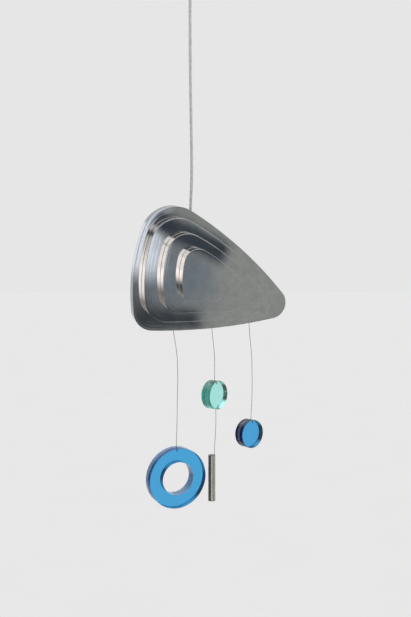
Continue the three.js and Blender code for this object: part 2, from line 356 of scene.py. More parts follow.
ROPE_TREE = rope_tree()
print("rope tree with", len(ROPE_TREE.nodes), "nodes")

# %% [markdown]
# The route becomes a curve object of one poly spline, and the tree is its modifier. What the modifier
# makes is turned into a plain mesh at once, and the curve is removed. Smooth shading is then safe,
# because only the cut ends have sharp edges.

# %% Rope and wires
SHARP_ANGLE = math.radians(40)


def link_mesh(name, mesh):
    piece = bpy.data.objects.new(name, mesh)
    scene.collection.objects.link(piece)
    return piece


def smooth(mesh, angle=SHARP_ANGLE):
    for polygon in mesh.polygons:
        polygon.use_smooth = True
    mesh.set_sharp_from_angle(angle=angle)


def realise(carrier, name):
    """The plain mesh that a carrier's modifiers make. The carrier is removed."""
    bpy.context.view_layer.update()
    depsgraph = bpy.context.evaluated_depsgraph_get()
    mesh = bpy.data.meshes.new_from_object(carrier.evaluated_get(depsgraph), depsgraph=depsgraph)
    carrier.modifiers.clear()
    bpy.data.objects.remove(carrier)
    mesh.name = name
    return mesh


def lay_rope(name, line, sizes, material):
    curve = bpy.data.curves.new(name + "_route", "CURVE")
    curve.dimensions = "3D"
    spline = curve.splines.new("POLY")
    spline.points.add(len(line) - 1)
    for point, place in zip(spline.points, line):
        point.co = (*place, 1)
    carrier = link_mesh(name + "_carrier", curve)
    modifier = carrier.modifiers.new("laid_rope", "NODES")
    modifier.node_group = ROPE_TREE
    for key, value in sizes.items():
        set_input(modifier, ROPE_TREE, key, value)
    set_input(modifier, ROPE_TREE, "Material", material)
    mesh = realise(carrier, name)
    smooth(mesh)
    piece = link_mesh(name, mesh)
    print(f"{name}: {len(mesh.polygons)} faces")
    return piece


ROPE_DIAMETER = 3.2 * MM
WIRE_DIAMETER = 0.6 * MM
ROPE_SIZES = {
    "Strand Radius": ROPE_DIAMETER / 6, "Ring Radius": ROPE_DIAMETER / 3, "Core Radius": ROPE_DIAMETER / 6,
    "Lay Length": 19 * MM, "Step": 0.6 * MM, "Strands": 6, "Sides": 10,
}
WIRE_SIZES = {
    "Strand Radius": WIRE_DIAMETER / 5, "Ring Radius": WIRE_DIAMETER * 0.3, "Core Radius": WIRE_DIAMETER / 5,
    "Lay Length": 5 * MM, "Step": 0.5 * MM, "Strands": 6, "Sides": 5,
}
suspension_cable = lay_rope("suspension_rope", rope_line, ROPE_SIZES, rope_steel)
ring_wire = lay_rope("blue_ring_wire", ring_line, WIRE_SIZES, wire_steel)
green_wire = lay_rope("green_disc_thin_wire", green_line, WIRE_SIZES, wire_steel)
rod_wire = lay_rope("metal_rod_wire", rod_line, WIRE_SIZES, wire_steel)
blue_wire = lay_rope("blue_disc_thin_wire", blue_line, WIRE_SIZES, wire_steel)

# %% [markdown]
# ## Skins made of loops
#
# The plates, the discs, the rod and the sleeve are all cut from stock with a constant outline, and
# then their edges are broken. Such a piece is a pile of loops: each loop is the outline moved inwards
# a little, at its own height. Joining each loop to the next gives a clean closed skin, with every edge
# rounding where we want it. A short helper joins the loops and can close both ends with flat caps.

# %% Loop skins
def skin(name, loops, place=Matrix(), ring=False, rim=None):
    """A closed mesh through loops of equal count, capped at both ends, or joined end to start."""
    count = len(loops[0])
    build = bmesh.new()
    uv = build.loops.layers.uv.new("edge_map")
    rim_layer = build.verts.layers.float.new("rim")
    rows = []
    for row_index, loop in enumerate(loops):
        row = [build.verts.new(place @ Vector(point)) for point in loop]
        for vert in row:
            vert[rim_layer] = rim[row_index] if rim else 0.0
        rows.append(row)
    pairs = list(zip(rows, rows[1:] + rows[:1] if ring else rows[1:]))
    perimeter = [0.0]
    first = [Vector(point) for point in loops[0]]
    for a, b in zip(first, first[1:] + first[:1]):
        perimeter.append(perimeter[-1] + (b - a).length)
    depth = 0.0
    for row_index, (low, high) in enumerate(pairs):
        rise = (high[0].co - low[0].co).length
        for i in range(count):
            j = (i + 1) % count
            face = build.faces.new((low[i], low[j], high[j], high[i]))
            spots = ((perimeter[i], depth), (perimeter[i + 1], depth),
                     (perimeter[i + 1], depth + rise), (perimeter[i], depth + rise))
            for corner, spot in zip(face.loops, spots):
                corner[uv].uv = spot
        depth += rise
    if not ring:
        build.faces.new(list(reversed(rows[0])))
        build.faces.new(rows[-1])
    bmesh.ops.recalc_face_normals(build, faces=build.faces)
    mesh = bpy.data.meshes.new(name)
    build.to_mesh(mesh)
    build.free()
    return mesh


def broken_edge(radius, steps=4):
    """Insets and depths of a rounded edge, from the face to the wall, with a guard loop at each end.

    The guard loops lie just past the rounding, so that the smooth shading of the rounding doesn't
    spread over the flat face and the wall.
    """
    guard = radius * 0.15
    turn = [math.pi / 2 * i / steps for i in range(steps + 1)]
    curve = [(radius * (1 - math.sin(a)), radius * (1 - math.cos(a))) for a in turn]
    return [(radius + guard, 0.0), *curve, (0.0, radius + guard)]


print("edge of 0.4 mm:", [(round(a, 3), round(b, 3)) for a, b in broken_edge(0.4)])

# %% [markdown]
# ## Polished plate
#
# The plates are aluminium, buffed until they mirror the room but never quite flat. Three things make
# such a surface look real. The buffing leaves fine streaks, which follow the edge near the edge and run
# upright in the middle. The sheet is slightly wavy, so that mirrored things bend. And the polish has
# duller patches. The streaks near the edge use the piece's own UV map, which runs along the outline,
# and an attribute named rim fades them out towards the middle. The left flank was buffed hardest, so
# it also gets deeper scours of a darker tone.

# %% Plate finish
FLANK_START, FLANK_END = -0.032, -0.012  # metres: the scours are full left of one, gone right of the other
STREAK_DEPTH = 0.0012
SCOUR_DEPTH = 0.016
RIPPLE_DEPTH = 0.005


def plate_finish(name, shift, wave):
    """Buffed metal. shift moves its patterns, and wave is how far its face swells, in millimetres."""
    material = new_material(name)
    tree = material.node_tree
    place = add_node(
        tree, "ShaderNodeMapping", Vector=object_coordinates(tree), Location=shift,
    ).outputs[0]
    rim = add_node(tree, "ShaderNodeAttribute", {"attribute_name": "rim"}).outputs["Fac"]
    edge_map = add_node(tree, "ShaderNodeUVMap", {"uv_map": "edge_map"}).outputs[0]

    upright = noise(tree, stretched(tree, place, (1500, 200, 45)), 1, 3, 0.6)
    around = noise(tree, stretched(tree, edge_map, (22, 1800, 1)), 1, 3, 0.6)
    streaks = blend_values(tree, rim, upright, around)
    haze = noise(tree, place, 38, 4, 0.55)
    waves = noise(tree, place, 17, 1.5, 0.4)

    fine = add_node(tree, "ShaderNodeBump", Height=streaks, Strength=0.5, Distance=STREAK_DEPTH * MM)
    margin = noise(tree, stretched(tree, edge_map, (18, 420, 1)), 1, 2, 0.5)
    across = add_node(tree, "ShaderNodeSeparateXYZ", Vector=object_coordinates(tree)).outputs["X"]
    flank = calc(tree, "MULTIPLY", rim, ramp(tree, across, FLANK_END, FLANK_START))
    ripples = noise(tree, place, 110, 1, 0.4)
    swell = calc(tree, "MULTIPLY", waves, wave * MM)
    swell = calc(tree, "ADD", swell, calc(
        tree, "MULTIPLY", calc(tree, "MULTIPLY", margin, flank), SCOUR_DEPTH * MM,
    ))
    swell = calc(tree, "ADD", swell, calc(tree, "MULTIPLY", ripples, RIPPLE_DEPTH * MM))
    broad = add_node(
        tree, "ShaderNodeBump", Height=swell, Strength=1.0, Distance=1.0, Normal=fine.outputs[0],
    )
    scours = noise(tree, stretched(tree, edge_map, (14, 750, 1)), 1, 3, 0.7)
    scoured = calc(tree, "MULTIPLY", remap(tree, scours, 0.40, 0.62, 0, 1), flank)
    colour = blend_colours(
        tree, remap(tree, haze, 0.35, 0.65, 0, 1), (0.72, 0.73, 0.735, 1), (0.80, 0.81, 0.815, 1),
    )
    colour = blend_colours(tree, scoured, colour, (0.56, 0.58, 0.61, 1))
    patches = remap(tree, noise(tree, place, 90, 5, 0.6), 0.42, 0.7, 0, 0.7)
    colour = blend_colours(tree, patches, colour, (0.60, 0.61, 0.62, 1))
    gloss = calc(
        tree, "ADD", remap(tree, haze, 0.35, 0.7, 0.012, 0.032), remap(tree, streaks, 0.35, 0.7, 0, 0.018),
    )
    shader = add_node(
        tree, "ShaderNodeBsdfPrincipled", Base_Color=colour, Metallic=1.0,
        Roughness=gloss, Normal=broad.outputs[0],
    )
    finish_surface(tree, shader)
    return material


print("plate finish ready, with streaks", STREAK_DEPTH, "mm deep")

# %% [markdown]
# ## The stack of plates
#
# Each plate's outline is a triangle with three round corners and three bowed sides, so six arcs that
# touch without a corner draw it exactly. Moving such an outline inwards needs no new drawing: every
# arc keeps its centre and its radius shrinks. The front face is left flat in the middle and rolls off
# by a hair towards the edge, as buffing always does, and that thin rolled margin is what catches the
# light along the outline.

# %% Plate outlines
PLATE_THICKNESS = 12
PLATE_PITCH = 12.3
PLATE_LEAN = 9
ARC_STEPS = 40
PLATES = {
    "back_plate": {
        "corners": [(-17.5, -29.5, 35), (97, -99, 17), (-37.5, -105, 21.5)],
        "bows": [450, 580, 200],
    },
    "second_plate": {
        "corners": [(-17.5, -34.5, 29), (73.5, -93.5, 18), (-24.5, -89, 26)],
        "bows": [275, 1300, 165],
    },
    "third_plate": {
        "corners": [(-10, -42, 22), (62.5, -87, 13.5), (-17.5, -87.5, 15)],
        "bows": [245, 2000, 110],
    },
    "front_plate": {
        "corners": [(-2.5, -48.5, 14.5), (46, -76, 6), (-10.5, -80, 6)],
        "bows": [165, 150, 80],
    },
}


def bow_centre(first, second, bow):
    """Centre of the arc of radius bow that touches two corner circles from outside."""
    (x1, y1, r1), (x2, y2, r2) = first, second
    reach, far_reach = bow - r1, bow - r2
    span = math.hypot(x2 - x1, y2 - y1)
    along = (reach**2 - far_reach**2 + span**2) / (2 * span)
    across = math.sqrt(reach**2 - along**2)
    ux, uy = (x2 - x1) / span, (y2 - y1) / span
    return x1 + ux * along + uy * across, y1 + uy * along - ux * across


def bearing(point, centre):
    return math.atan2(point[1] - centre[1], point[0] - centre[0])


def outline(plate, inset):
    """The plate's outline moved inwards, clockwise, in millimetres."""
    corners, bows = plate["corners"], plate["bows"]
    centres = [bow_centre(corners[i], corners[(i + 1) % 3], bows[i]) for i in range(3)]
    arcs = []
    for i in range(3):
        corner, following = corners[i], corners[(i + 1) % 3]
        arcs.append((corner[:2], corner[2], bearing(corner, centres[i - 1]), bearing(corner, centres[i])))
        arcs.append((centres[i], bows[i], bearing(corner, centres[i]), bearing(following, centres[i])))
    points = []
    for (cx, cy), radius, start, stop in arcs:
        sweep = (start - stop) % math.tau
        for step in range(ARC_STEPS):
            angle = start - sweep * step / ARC_STEPS
            reach = radius - inset
            points.append((cx + reach * math.cos(angle), cy + reach * math.sin(angle)))
    return points


print("back plate outline:", len(outline(PLATES["back_plate"], 0)), "points")

# %% [markdown]
# The outline at each inset and height is one loop of the plate's skin. The rolled margin has several
# loops close together, so that its curve is smooth, and a few more further in let the rim attribute
# fade out.

# %% Plate meshes
EDGE_RADIUS = 0.35
BACK_EDGE_RADIUS = 0.5
ROLL_WIDTH = 1.5
ROLL_DROP = 0.009
ROLL_RINGS = [0.22, 0.4, 0.6, 0.8, 1.0]
MARGIN_RINGS = [5.0, 8.0, 12.0, 16.0]
LEAST_CORNER = 0.4  # the smallest corner that a loop may have


def plate_loops(plate, layer):
    middle = layer * PLATE_PITCH
    back, front = middle - PLATE_THICKNESS / 2, middle + PLATE_THICKNESS / 2
    smallest = min(corner[2] for corner in plate["corners"])

    def roll(inset):
        return ROLL_DROP * max(0.0, 1 - inset / ROLL_WIDTH) ** 2

    levels = [(inset, back + depth, 1.0) for inset, depth in broken_edge(BACK_EDGE_RADIUS)]
    edge = [(inset, front - roll(inset) - depth, 1.0) for inset, depth in broken_edge(EDGE_RADIUS)]
    insets = [ROLL_WIDTH * ring for ring in ROLL_RINGS] + MARGIN_RINGS
    insets = [inset for inset in insets if inset < smallest - LEAST_CORNER]
    margin = [(inset, front - roll(inset), 1 - inset / insets[-1]) for inset in insets]
    levels += [*reversed(edge), *margin]
    loops, rim = [], []
    for inset, height, share in levels:
        loops.append([(x * MM, y * MM, height * MM) for x, y in outline(plate, inset)])
        rim.append(share)
    return loops, rim


def fitted(name, piece, node):
    """Prints how far the piece's box is from that of the node it replaces."""
    low, high = (Vector(corner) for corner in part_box(node))
    points = [vert.co for vert in piece.data.vertices]
    worst = max(
        max(abs(min(p[axis] for p in points) - low[axis]), abs(max(p[axis] for p in points) - high[axis]))
        for axis in range(3)
    )
    print(f"{name}: {len(piece.data.polygons)} faces, box within {worst * 1000:.2f} mm of {node}")


rope_entry = Vector(ROPE_ROUTE[2]) * MM
STACK_PLACE = Matrix.Translation(rope_entry) @ Matrix.Rotation(math.radians(90 + PLATE_LEAN), 4, "X")
PLATE_FINISHES = {
    "back_plate": plate_finish("buffed_back_plate", (0.0, 0.0, 0.0), 0.045),
    "second_plate": plate_finish("buffed_second_plate", (0.31, 0.0, 0.17), 0.045),
    "third_plate": plate_finish("buffed_third_plate", (0.62, 0.0, 0.41), 0.045),
    "front_plate": plate_finish("buffed_front_plate", (0.93, 0.0, 0.73), 0.04),
}
plate_pieces = {}
for layer, (node, plate) in enumerate(PLATES.items()):
    loops, rim = plate_loops(plate, layer)
    mesh = skin("polished_" + node, loops, STACK_PLACE, rim=rim)
    smooth(mesh)
    mesh.materials.append(PLATE_FINISHES[node])
    plate_pieces[node] = link_mesh("polished_" + node, mesh)
    fitted(node, plate_pieces[node], node)

# %% [markdown]
# ## Drilled holes
#
# A hole is cut with a Boolean modifier: a thin cylinder is taken away from the piece, and the result
# is kept as the new mesh. Every hole here is blind, so the cylinder stops inside the piece.

# %% Drilling
def drill(piece, entry, inward, diameter, depth):
    """Cuts a blind hole from entry along inward, all in metres."""
    overshoot = 2 * MM
    bit = bmesh.new()
    bmesh.ops.create_cone(
        bit, cap_ends=True, segments=24, radius1=diameter / 2, radius2=diameter / 2,
        depth=depth + overshoot,
    )
    inward = Vector(inward).normalized()
    turn = Vector((0, 0, 1)).rotation_difference(inward).to_matrix().to_4x4()
    middle = Vector(entry) + inward * (depth - overshoot) / 2
    bmesh.ops.transform(bit, matrix=Matrix.Translation(middle) @ turn, verts=bit.verts)
    mesh = bpy.data.meshes.new("bit")
    bit.to_mesh(mesh)
    bit.free()
    cutter = link_mesh("bit", mesh)
    modifier = piece.modifiers.new("hole", "BOOLEAN")
    modifier.operation = "DIFFERENCE"
    modifier.solver = "EXACT"
    modifier.object = cutter
    bpy.context.view_layer.update()
    depsgraph = bpy.context.evaluated_depsgraph_get()
    cut = bpy.data.meshes.new_from_object(piece.evaluated_get(depsgraph), depsgraph=depsgraph)
    piece.modifiers.clear()
    piece.data = cut
    bpy.data.objects.remove(cutter)


WIRE_HOLE = 1.2 * MM
WIRE_HOLE_DEPTH = 8 * MM
WIRE_HOLE_SLANT = math.radians(9)
ROPE_HOLE = 3.8 * MM
ROPE_HOLE_DEPTH = 14 * MM
WIRE_ENTRIES = [(-13.2, -126.6), (30.4, -125), (73.7, -120.2)]  # on the back plate's lower edge

back = plate_pieces["back_plate"]
in_plane = STACK_PLACE.to_3x3()
drill(back, rope_entry, in_plane @ Vector((0, -1, 0)), ROPE_HOLE, ROPE_HOLE_DEPTH)
slanted = in_plane @ Vector((-math.sin(WIRE_HOLE_SLANT), math.cos(WIRE_HOLE_SLANT), 0))
for x, y in WIRE_ENTRIES:
    drill(back, STACK_PLACE @ (Vector((x, y, 0)) * MM), slanted, WIRE_HOLE, WIRE_HOLE_DEPTH)
smooth(back.data)
print("back plate drilled:", len(back.data.polygons), "faces")

# %% [markdown]
# ## Clear acrylic
#
# The ring and the discs are cut from coloured clear sheet. Light goes through it, so the colour lives
# in the depth and not on the skin: a Volume Absorption node takes a little out of every millimetre.
# That is why the faces look bright and the rims dark, because light that arrives at the rim has been
# thrown about inside for much longer. On the blue disc the sawn wall is also coloured near-black navy,
# which is painted shade that deepens that dark. The skin itself is clear, with a touch of haze from
# handling, and the sawn and buffed rim is a little rougher than the faces.

# %% Acrylic finish
ACRYLIC_IOR = 1.49


def acrylic_finish(name, per_metre, rim_roughness, frost, frost_and_shade_colour):
    """Clear tinted acrylic.

    per_metre is how fast red, green and blue fade inside it. frost is the part of the light that a
    fully sawn wall scatters, in the given colour, instead of letting it through. A pale colour there
    is the frost's own tone, and a near-black one is painted shade.
    """
    material = new_material(name)
    tree = material.node_tree
    place = object_coordinates(tree)
    rim = add_node(tree, "ShaderNodeAttribute", {"attribute_name": "rim"}).outputs["Fac"]
    edge_map = add_node(tree, "ShaderNodeUVMap", {"uv_map": "edge_map"}).outputs[0]
    handling = remap(tree, noise(tree, place, 160, 4, 0.6), 0.55, 0.8, 0.0, 0.05)
    lines = noise(tree, stretched(tree, edge_map, (40, 2600, 1)), 1, 2, 0.6)
    sawn = remap(tree, lines, 0.3, 0.7, rim_roughness * 0.5, rim_roughness)
    sawn = calc(tree, "MULTIPLY", rim, sawn)
    ridges = calc(tree, "MULTIPLY", rim, lines)
    bump = add_node(tree, "ShaderNodeBump", Height=ridges, Strength=0.3, Distance=0.02 * MM)
    shader = add_node(
        tree, "ShaderNodeBsdfPrincipled", IOR=ACRYLIC_IOR,
        Base_Color=blend_colours(tree, rim, (1, 1, 1, 1), (*frost_and_shade_colour, 1)),
        Transmission_Weight=calc(tree, "SUBTRACT", 1.0, calc(tree, "MULTIPLY", rim, frost)),
        Roughness=calc(tree, "ADD", handling, sawn), Normal=bump.outputs[0],
    )
    strongest = max(per_metre)
    tint = tuple(1 - amount / strongest for amount in per_metre)
    volume = add_node(tree, "ShaderNodeVolumeAbsorption", Color=(*tint, 1), Density=strongest)
    finish_surface(tree, shader, volume)
    return material


BLUE = (200, 59, 11)
GREEN = (52, 2, 6)
ring_acrylic = acrylic_finish("buffed_blue_acrylic", BLUE, 0.16, 0.5, (0.40, 0.66, 0.86))
# The blue disc's sawn wall is coloured near-black navy, which is painted shade that darkens its rim.
blue_acrylic = acrylic_finish("sawn_blue_acrylic", BLUE, 0.16, 0.6, (0.012, 0.035, 0.11))
green_acrylic = acrylic_finish("sawn_green_acrylic", GREEN, 0.08, 0.14, (0.42, 0.56, 0.50))
print("acrylic finishes", ring_acrylic.name, blue_acrylic.name, green_acrylic.name)

# %% [markdown]
# ## Ring and discs
#
# All three are round, so their loops are circles. A disc is a pile of circles with a flat cap at each
# end. The ring's pile goes up the outside and down the inside, and closes on itself. Each piece is
# built flat, then turned and set in its place with one matrix, and its middle comes from the frame.

# %% Round pieces
ACRYLIC_THICKNESS = 12
ACRYLIC_EDGE = 0.45
CIRCLE_STEPS = 128
RING_RADIUS = 33.25
RING_HOLE_RADIUS = 18
DISC_RADIUS = 15.75
SAWN_HEIGHTS = [-5, -3.5, -1.6, -0.7, 0.3, 1.2, 2.5, 4.5]  # extra loops that carry the values below
# How sawn a wall is, by its height from the middle of the sheet.
DISC_SAWN = {-6: 1.0, -1.7: 1.0, -0.8: 0.3, 0.4: 0.3, 1.3: 1.0, 6: 1.0}
RING_SAWN = {-6: 1.0, -3: 0.9, 0: 0.45, 2: 0.05, 6: 0.05}
HOLE_SAWN = {-6: 0.85, 6: 0.85}
HANGS = {
    "blue_ring": {"turn": 8, "tip": 2.5},
    "green_disc": {"turn": 32, "tip": 0},
    "blue_disc": {"turn": 20.5, "tip": 0},
}


def circle(radius, height):
    angles = [math.tau * i / CIRCLE_STEPS for i in range(CIRCLE_STEPS)]
    return [(radius * math.cos(a) * MM, radius * math.sin(a) * MM, height * MM) for a in angles]


def hung(node):
    """The matrix from a piece drawn flat round its middle to its place."""
    turn, tip = HANGS[node]["turn"], HANGS[node]["tip"]
    return (
        Matrix.Translation(box_centre(node))
        @ Matrix.Rotation(math.radians(turn), 4, "Z")
        @ Matrix.Rotation(math.radians(90 + tip), 4, "X")
    )


def wall_levels(radius, thickness, edge, side=1):
    """Radius and height of each circle from the back face to the front one. side -1 is a hole's wall."""
    half = thickness / 2
    back = [(radius - side * inset, depth - half) for inset, depth in broken_edge(edge)]
    front = [(radius - side * inset, half - depth) for inset, depth in reversed(broken_edge(edge))]
    if thickness > ACRYLIC_THICKNESS:
        return back + front
    return back + [(radius, height) for height in SAWN_HEIGHTS if abs(height) < half - 2 * edge] + front


def wall_rim(levels, thickness, sawn):
    """How sawn the wall is at each level: none on the faces, and between them what sawn says."""
    half = thickness / 2
    heights, values = zip(*sorted(sawn.items()))
    shares = []
    for _, height in levels:
        after = next((i for i, known in enumerate(heights) if known >= height), len(heights) - 1)
        before = max(after - 1, 0)
        span = heights[after] - heights[before]
        part = 0.0 if span == 0 else min(1.0, (height - heights[before]) / span)
        share = values[before] + (values[after] - values[before]) * part
        shares.append(0.0 if abs(height) >= half else share)
    return shares


def make_disc(name, radius, thickness, edge, place, material, sawn):
    levels = wall_levels(radius, thickness, edge)
    loops = [circle(r, h) for r, h in levels]
    mesh = skin(name, loops, place, rim=wall_rim(levels, thickness, sawn))
    mesh.materials.append(material)
    smooth(mesh)
    return link_mesh(name, mesh)


def make_ring(name, material):
    outer = wall_levels(RING_RADIUS, ACRYLIC_THICKNESS, ACRYLIC_EDGE)
    inner = wall_levels(RING_HOLE_RADIUS, ACRYLIC_THICKNESS, ACRYLIC_EDGE, side=-1)
    levels = outer + list(reversed(inner))
    loops = [circle(r, h) for r, h in levels]
    mesh = skin(name, loops, hung("blue_ring"), ring=True, rim=(
        wall_rim(outer, ACRYLIC_THICKNESS, RING_SAWN) + wall_rim(inner, ACRYLIC_THICKNESS, HOLE_SAWN)[::-1]
    ))
    mesh.materials.append(material)
    smooth(mesh)
    return link_mesh(name, mesh)


clear_ring = make_ring("clear_blue_ring", ring_acrylic)
clear_green = make_disc(
    "clear_green_disc", DISC_RADIUS, ACRYLIC_THICKNESS, ACRYLIC_EDGE,
    hung("green_disc"), green_acrylic, DISC_SAWN,
)
clear_blue = make_disc(
    "clear_blue_disc", DISC_RADIUS, ACRYLIC_THICKNESS, ACRYLIC_EDGE,
    hung("blue_disc"), blue_acrylic, DISC_SAWN,
)
PENDANT_HOLE_DEPTH = 4 * MM
HOLE_SLACK = 0.8 * MM  # room left past a wire's end
for piece, node, end in (
    (clear_ring, "blue_ring", ring_line[-1]), (clear_green, "green_disc", green_line[-1]),
    (clear_green, "green_disc", rod_line[0]), (clear_blue, "blue_disc", blue_line[-1]),
):
    up = hung(node).to_3x3() @ Vector((0, 1, 0))
    side = 1 if (end - box_centre(node)).dot(up) > 0 else -1
    bottom = end - up * side * HOLE_SLACK
    drill(piece, bottom + up * side * PENDANT_HOLE_DEPTH, -up * side, WIRE_HOLE, PENDANT_HOLE_DEPTH)
    smooth(piece.data)
for piece, node in ((clear_ring, "blue_ring"), (clear_green, "green_disc"), (clear_blue, "blue_disc")):
    fitted(piece.name, piece, node)

# %% [markdown]
# ## The metal rod
#
# The rod is a short length of round bar, sawn off and left plain. Drawn bar has long fine lines along
# it and a satin gloss, and its sawn ends show the marks of the blade. Stretching one noise along the
# bar and another across it gives both.

# %% Rod
ROD_RADIUS = 4
ROD_LENGTH = 51
ROD_EDGE = 0.25


def rod_finish():
    material = new_material("satin_bar")
    tree = material.node_tree
    place = object_coordinates(tree)
    along = noise(tree, stretched(tree, place, (1600, 1600, 30)), 1, 3, 0.6)
    saw = noise(tree, stretched(tree, place, (120, 2200, 1), (0, 0, 0.5)), 1, 2)
    patches = noise(tree, place, 110, 4, 0.6)
    facing = tree.nodes.new("ShaderNodeNewGeometry").outputs["True Normal"]
    end = add_node(tree, "ShaderNodeSeparateXYZ", Vector=facing).outputs["Z"]
    end = calc(tree, "ABSOLUTE", end)
    marks = blend_values(tree, end, along, saw)
    patchy = remap(tree, patches, 0.35, 0.65, 0, 1)
    colour = blend_colours(tree, patchy, (0.56, 0.55, 0.495, 1), (0.67, 0.66, 0.60, 1))
    # The end faces are coloured nearly black: painted shade that keeps them dark inside their bright rounded
    # edges.
    colour = blend_colours(tree, end, colour, (0.12, 0.12, 0.115, 1))
    bump = add_node(tree, "ShaderNodeBump", Height=marks, Strength=0.4, Distance=0.02 * MM)
    shader = add_node(
        tree, "ShaderNodeBsdfPrincipled", Base_Color=colour, Metallic=1.0,
        Roughness=remap(tree, marks, 0.3, 0.7, 0.17, 0.28), Normal=bump.outputs[0],
    )
    finish_surface(tree, shader)
    return material


satin_bar = rod_finish()
UP = Vector((0, 0, 1))
rod_place = Matrix.Translation(box_centre("metal_rod"))
hanging_rod = make_disc(
    "hanging_rod", ROD_RADIUS, ROD_LENGTH, ROD_EDGE, rod_place, satin_bar, {0: 1.0},
)
ROD_WIRE_DEPTH = 3.3 * MM
drill(hanging_rod, rod_line[-1] + UP * ROD_WIRE_DEPTH, -UP, WIRE_HOLE, PENDANT_HOLE_DEPTH)
smooth(hanging_rod.data)
fitted("hanging_rod", hanging_rod, "metal_rod")

# %% [markdown]
# ## The sleeve that closes the eye
#
# The rope's eye is closed by a soft aluminium sleeve, pressed on with a tool that leaves shallow
# waists. Its outline is a long round one, two half circles and two straights, because two runs of rope
# lie side by side in it. The loops go up the outside and down the inside.

# %% Sleeve
SLEEVE_TOP = -32
SLEEVE_LENGTH = 9
SLEEVE_RADIUS = 3.1
SLEEVE_BORE = 1.9
ROPE_PITCH = 3.5
PRESS_DEPTH = 0.35
PRESS_MARKS = 2
SLEEVE_EDGE = 0.4
BORE_EDGE = 0.2
SLEEVE_END = 0.5  # where the pressed waists begin and end
SLEEVE_STEPS = 24


def long_round(radius, height):
    points = []
    for centre, start in ((ROPE_PITCH, -math.pi / 2), (0, math.pi / 2)):
        for i in range(SLEEVE_STEPS + 1):
            angle = start + math.pi * i / SLEEVE_STEPS
            x, y = centre + radius * math.cos(angle), radius * math.sin(angle)
            points.append((x * MM, y * MM, height * MM))
    return points


def sleeve_finish():
    material = new_material("pressed_aluminium")
    tree = material.node_tree
    place = object_coordinates(tree)
    dents = noise(tree, place, 700, 3, 0.6)
    bump = add_node(tree, "ShaderNodeBump", Height=dents, Strength=0.5, Distance=0.05 * MM)
    dented = remap(tree, dents, 0.35, 0.65, 0, 1)
    colour = blend_colours(tree, dented, (0.56, 0.56, 0.55, 1), (0.70, 0.70, 0.69, 1))
    shader = add_node(
        tree, "ShaderNodeBsdfPrincipled", Base_Color=colour, Metallic=1.0,
        Roughness=remap(tree, dents, 0.3, 0.7, 0.3, 0.45), Normal=bump.outputs[0],
    )
    finish_surface(tree, shader)
    return material


outer = [(SLEEVE_RADIUS - inset, depth) for inset, depth in broken_edge(SLEEVE_EDGE)]
for i in range(1, SLEEVE_STEPS):
    share = i / SLEEVE_STEPS
    waist = PRESS_DEPTH * math.sin(math.pi * PRESS_MARKS * share) ** 2
    outer.append((SLEEVE_RADIUS - waist, SLEEVE_END + (SLEEVE_LENGTH - 2 * SLEEVE_END) * share))
outer += [
    (SLEEVE_RADIUS - inset, SLEEVE_LENGTH - depth) for inset, depth in reversed(broken_edge(SLEEVE_EDGE))
]
bore = [(SLEEVE_BORE + inset, depth) for inset, depth in broken_edge(BORE_EDGE)]
bore += [(SLEEVE_BORE + inset, SLEEVE_LENGTH - depth) for inset, depth in reversed(broken_edge(BORE_EDGE))]
sleeve_loops = [long_round(r, h - SLEEVE_LENGTH + SLEEVE_TOP) for r, h in outer + bore[::-1]]
sleeve_mesh = skin("eye_sleeve", sleeve_loops, ring=True)
sleeve_mesh.materials.append(sleeve_finish())
smooth(sleeve_mesh)
eye_sleeve = link_mesh("eye_sleeve", sleeve_mesh)
fitted("eye_sleeve", eye_sleeve, "loop_sleeve")

# %% [markdown]
# ## Studio
#
# A mirror shows what stands round it, so for polished plates the room is half of the look. The camera
# sees only a plain pale backdrop. What the metal and the acrylic see is a plain soft studio: pale behind
# the mobile, dim in front of it, with warm softboxes on the left, a cool one beside them, and a grey card
# and two dark flags on the right. All of it is painted on the World by direction. A panel there is a
# soft-edged rectangle, given by its azimuth from -Y towards +X, its elevation and its half sizes in
# degrees.

# %% Panel group
def panel_group():
    """A node group that paints one soft-edged, turned rectangle over a colour."""
    tree = bpy.data.node_groups.new("soft_panel", "ShaderNodeTree")
    face = tree.interface
    for name in ("Azimuth", "Elevation", "Centre Azimuth", "Centre Elevation", "Half Width",
                 "Half Height", "Turn", "Softness"):
        face.new_socket(name, in_out="INPUT", socket_type="NodeSocketFloat")
    face.new_socket("Behind", in_out="INPUT", socket_type="NodeSocketColor")
    face.new_socket("Panel", in_out="INPUT", socket_type="NodeSocketColor")
    face.new_socket("Colour", in_out="OUTPUT", socket_type="NodeSocketColor")
    given = tree.nodes.new("NodeGroupInput").outputs
    right = calc(tree, "SUBTRACT", given["Azimuth"], given["Centre Azimuth"])
    up = calc(tree, "SUBTRACT", given["Elevation"], given["Centre Elevation"])
    turn = calc(tree, "RADIANS", given["Turn"])
    cosine, sine = calc(tree, "COSINE", turn), calc(tree, "SINE", turn)
    across = calc(tree, "ADD", calc(tree, "MULTIPLY", right, cosine), calc(tree, "MULTIPLY", up, sine))
    along = calc(tree, "SUBTRACT", calc(tree, "MULTIPLY", up, cosine), calc(tree, "MULTIPLY", right, sine))
    masks = []
    for distance, half in ((across, given["Half Width"]), (along, given["Half Height"])):
        inside = calc(tree, "SUBTRACT", half, calc(tree, "ABSOLUTE", distance))
        masks.append(ramp(tree, calc(tree, "DIVIDE", inside, given["Softness"]), -0.5, 0.5))
    mixed = blend_colours(tree, calc(tree, "MULTIPLY", *masks), given["Behind"], given["Panel"])
    output = tree.nodes.new("NodeGroupOutput")
    tree.links.new(mixed, output.inputs[0])
    return tree


PANEL_GROUP = panel_group()
print("panel group with", len(PANEL_GROUP.nodes), "nodes")

# %% [markdown]
# The World starts from broad tones by azimuth: dim in front, and mid grey at the right and at the back.
# The panels are painted over them one after another, and the pale backdrop and the bright overhead come
# last. The camera itself sees the backdrop's tone alone, so no panel ever shows behind the mobile.

